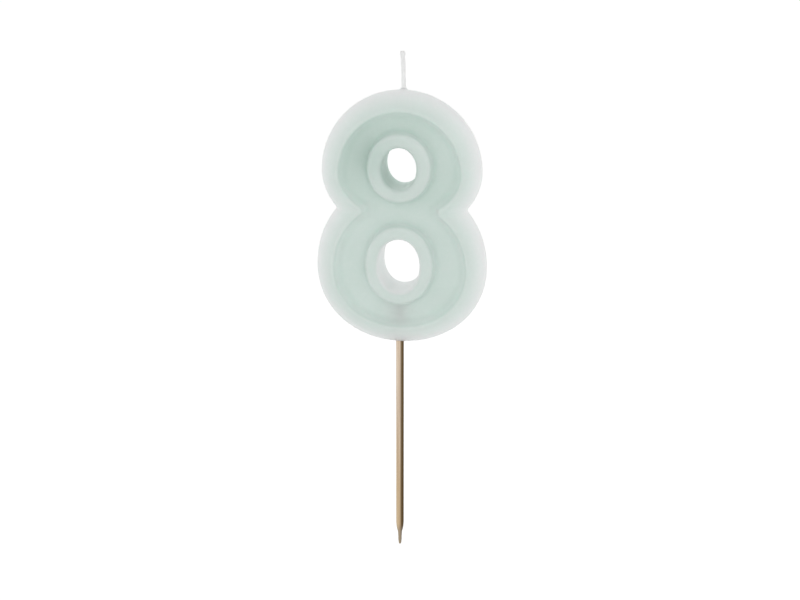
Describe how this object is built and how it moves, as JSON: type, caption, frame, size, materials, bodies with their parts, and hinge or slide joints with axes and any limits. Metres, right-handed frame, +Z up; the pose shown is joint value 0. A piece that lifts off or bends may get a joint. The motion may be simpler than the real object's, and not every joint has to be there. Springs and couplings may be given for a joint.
{
  "type": "number birthday candle",
  "caption": "Birthday candle in the shape of a figure eight, cast in pale wax with dished faces and raised rings round its holes, with a plaited wick on top and a pointed bamboo pick below.",
  "frame": {"origin": "on the pick's axis, at the underside of the wax figure where the pick enters it", "axes": "+Z up along the pick towards the wick, -Y out of the front face, +X to the right as seen from the front"},
  "size_m": [0.0539, 0.016, 0.1627],
  "materials": {
    "coloured_wax": "satin",
    "white_wax": "satin",
    "cotton": "matte",
    "bamboo": "satin"
  },
  "bodies": {
    "pick": {"bamboo_pick": "bamboo"},
    "figure": {"wax_figure": "coloured_wax", "wick_coat": "white_wax", "wick_yarn_1": "cotton", "wick_yarn_2": "cotton", "wick_yarn_3": "cotton"}
  },
  "joints": [
    {"name": "figure_lift", "type": "slide", "parent": "pick", "child": "figure", "axis": [0, 0, 1], "range_m": [0, 0.016]}
  ]
}
